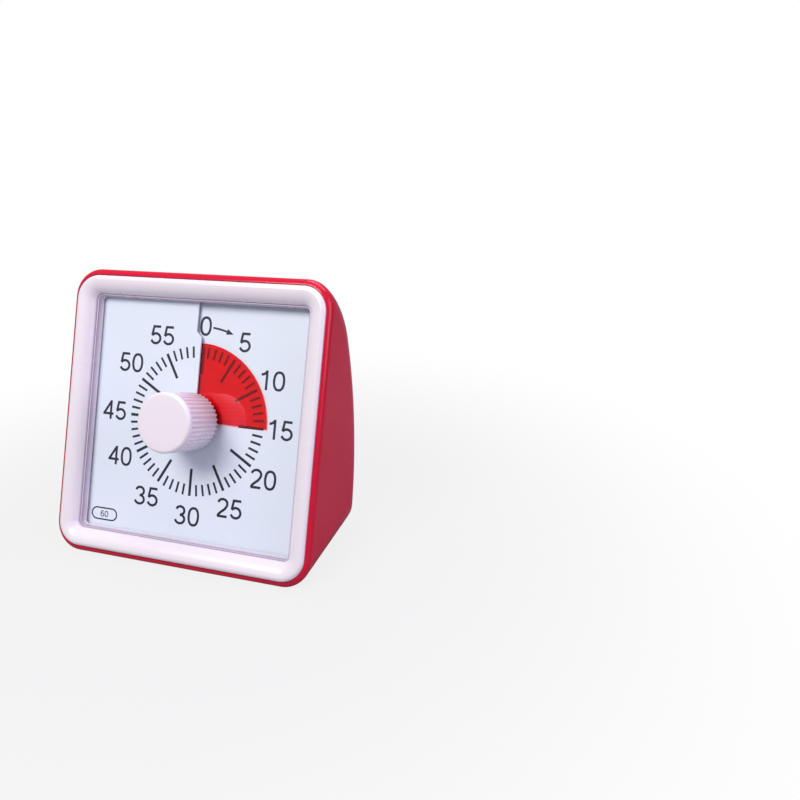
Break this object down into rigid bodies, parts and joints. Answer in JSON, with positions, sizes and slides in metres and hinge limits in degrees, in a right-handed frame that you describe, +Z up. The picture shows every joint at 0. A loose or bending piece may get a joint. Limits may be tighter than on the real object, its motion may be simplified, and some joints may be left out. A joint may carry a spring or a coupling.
{
  "type": "visual countdown timer",
  "caption": "Free-standing countdown timer with a wedge-shaped case, a square numbered dial, a red film disc that winds away and a ribbed setting knob.",
  "frame": {"origin": "on the surface that the timer stands on, in the middle of its width and of its greatest depth", "axes": "+X to the right as seen from the front, +Y from the dial to the back, +Z up"},
  "size_m": [0.139, 0.0812, 0.131],
  "materials": {
    "housing_red": "glossy",
    "bezel_white": "glossy",
    "dial_white": "satin",
    "film_red": "glossy",
    "knob_white": "glossy",
    "carrier_white": "matte",
    "case_grey": "matte",
    "wheel_white": "satin",
    "steel": "bright",
    "spring_nickel": "bright",
    "brass": "satin",
    "copper": "enamelled",
    "board_green": "satin",
    "black_plastic": "matte",
    "battery_wrap": "glossy",
    "magnet_dark": "matte"
  },
  "bodies": {
    "housing": {"housing": "housing_red", "bezel": "bezel_white", "dial_plate": "dial_white", "dial_carrier": "carrier_white", "wheel_pins": "steel", "stator": "steel", "coil_core": "steel", "coil": "copper", "movement_front_case": "case_grey", "movement_rear_case": "case_grey", "movement_screws": "steel", "circuit_board": "board_green", "board_screws": "steel", "chip": "black_plastic", "crystal": "steel", "contact_leaf": "brass", "bezel_screws": "steel", "housing_screws": "steel", "switch_body": "black_plastic", "buzzer": "black_plastic", "battery": "battery_wrap", "battery_spring": "spring_nickel", "battery_plate": "spring_nickel"},
    "knob": {"knob": "knob_white", "arbor": "steel", "zero_cam": "wheel_white", "clutch_washer": "steel"},
    "disc": {"time_disc": "film_red", "disc_hub": "knob_white"},
    "centre_wheel": {"centre_wheel": "wheel_white"},
    "third_wheel": {"third_wheel": "wheel_white"},
    "second_wheel": {"second_wheel": "wheel_white"},
    "intermediate_wheel": {"intermediate_wheel": "wheel_white"},
    "rotor": {"rotor": "magnet_dark"},
    "battery_door": {"battery_door": "housing_red"},
    "sound_switch": {"sound_switch": "black_plastic"}
  },
  "joints": [
    {"name": "knob_turn", "type": "hinge", "parent": "housing", "child": "knob", "pos_m": [0, -0.00338, 0.06271], "axis": [0, 0.9239, -0.3827], "range_deg": [-90, 270]},
    {"name": "disc_creep", "type": "slide", "parent": "knob", "child": "disc", "axis": [0, -0.9239, 0.3827], "range_m": [-0.00056, 0.00166]},
    {"name": "second_wheel_spin", "type": "hinge", "parent": "housing", "child": "second_wheel", "pos_m": [-0.00581, 0.00187, 0.07541], "axis": [0, -0.9239, 0.3827], "continuous": true},
    {"name": "third_wheel_spin", "type": "hinge", "parent": "housing", "child": "third_wheel", "pos_m": [-0.01031, -0.00111, 0.06821], "axis": [0, -0.9239, 0.3827], "continuous": true},
    {"name": "centre_wheel_spin", "type": "hinge", "parent": "housing", "child": "centre_wheel", "pos_m": [0, -0.00338, 0.06271], "axis": [0, -0.9239, 0.3827], "continuous": true},
    {"name": "intermediate_wheel_spin", "type": "hinge", "parent": "housing", "child": "intermediate_wheel", "pos_m": [0.0001, 0.00148, 0.07444], "axis": [0, -0.9239, 0.3827], "continuous": true},
    {"name": "rotor_spin", "type": "hinge", "parent": "housing", "child": "rotor", "pos_m": [0.00668, 0.00056, 0.07223], "axis": [0, -0.9239, 0.3827], "continuous": true},
    {"name": "battery_door_swing", "type": "hinge", "parent": "housing", "child": "battery_door", "pos_m": [0, 0.03362, 0.01769], "axis": [-1, 0, 0], "range_deg": [0, 80]},
    {"name": "sound_switch_slide", "type": "slide", "parent": "housing", "child": "sound_switch", "axis": [1, 0, 0], "range_m": [-0.003, 0.003]}
  ],
  "couplings": [
    {"joint": "disc_creep", "follows": "knob_turn", "m_per_rad": 0.00035014},
    {"joint": "third_wheel_spin", "follows": "second_wheel_spin", "ratio": -0.125},
    {"joint": "centre_wheel_spin", "follows": "second_wheel_spin", "ratio": 0.016667},
    {"joint": "intermediate_wheel_spin", "follows": "second_wheel_spin", "ratio": -5},
    {"joint": "rotor_spin", "follows": "second_wheel_spin", "ratio": 30}
  ]
}
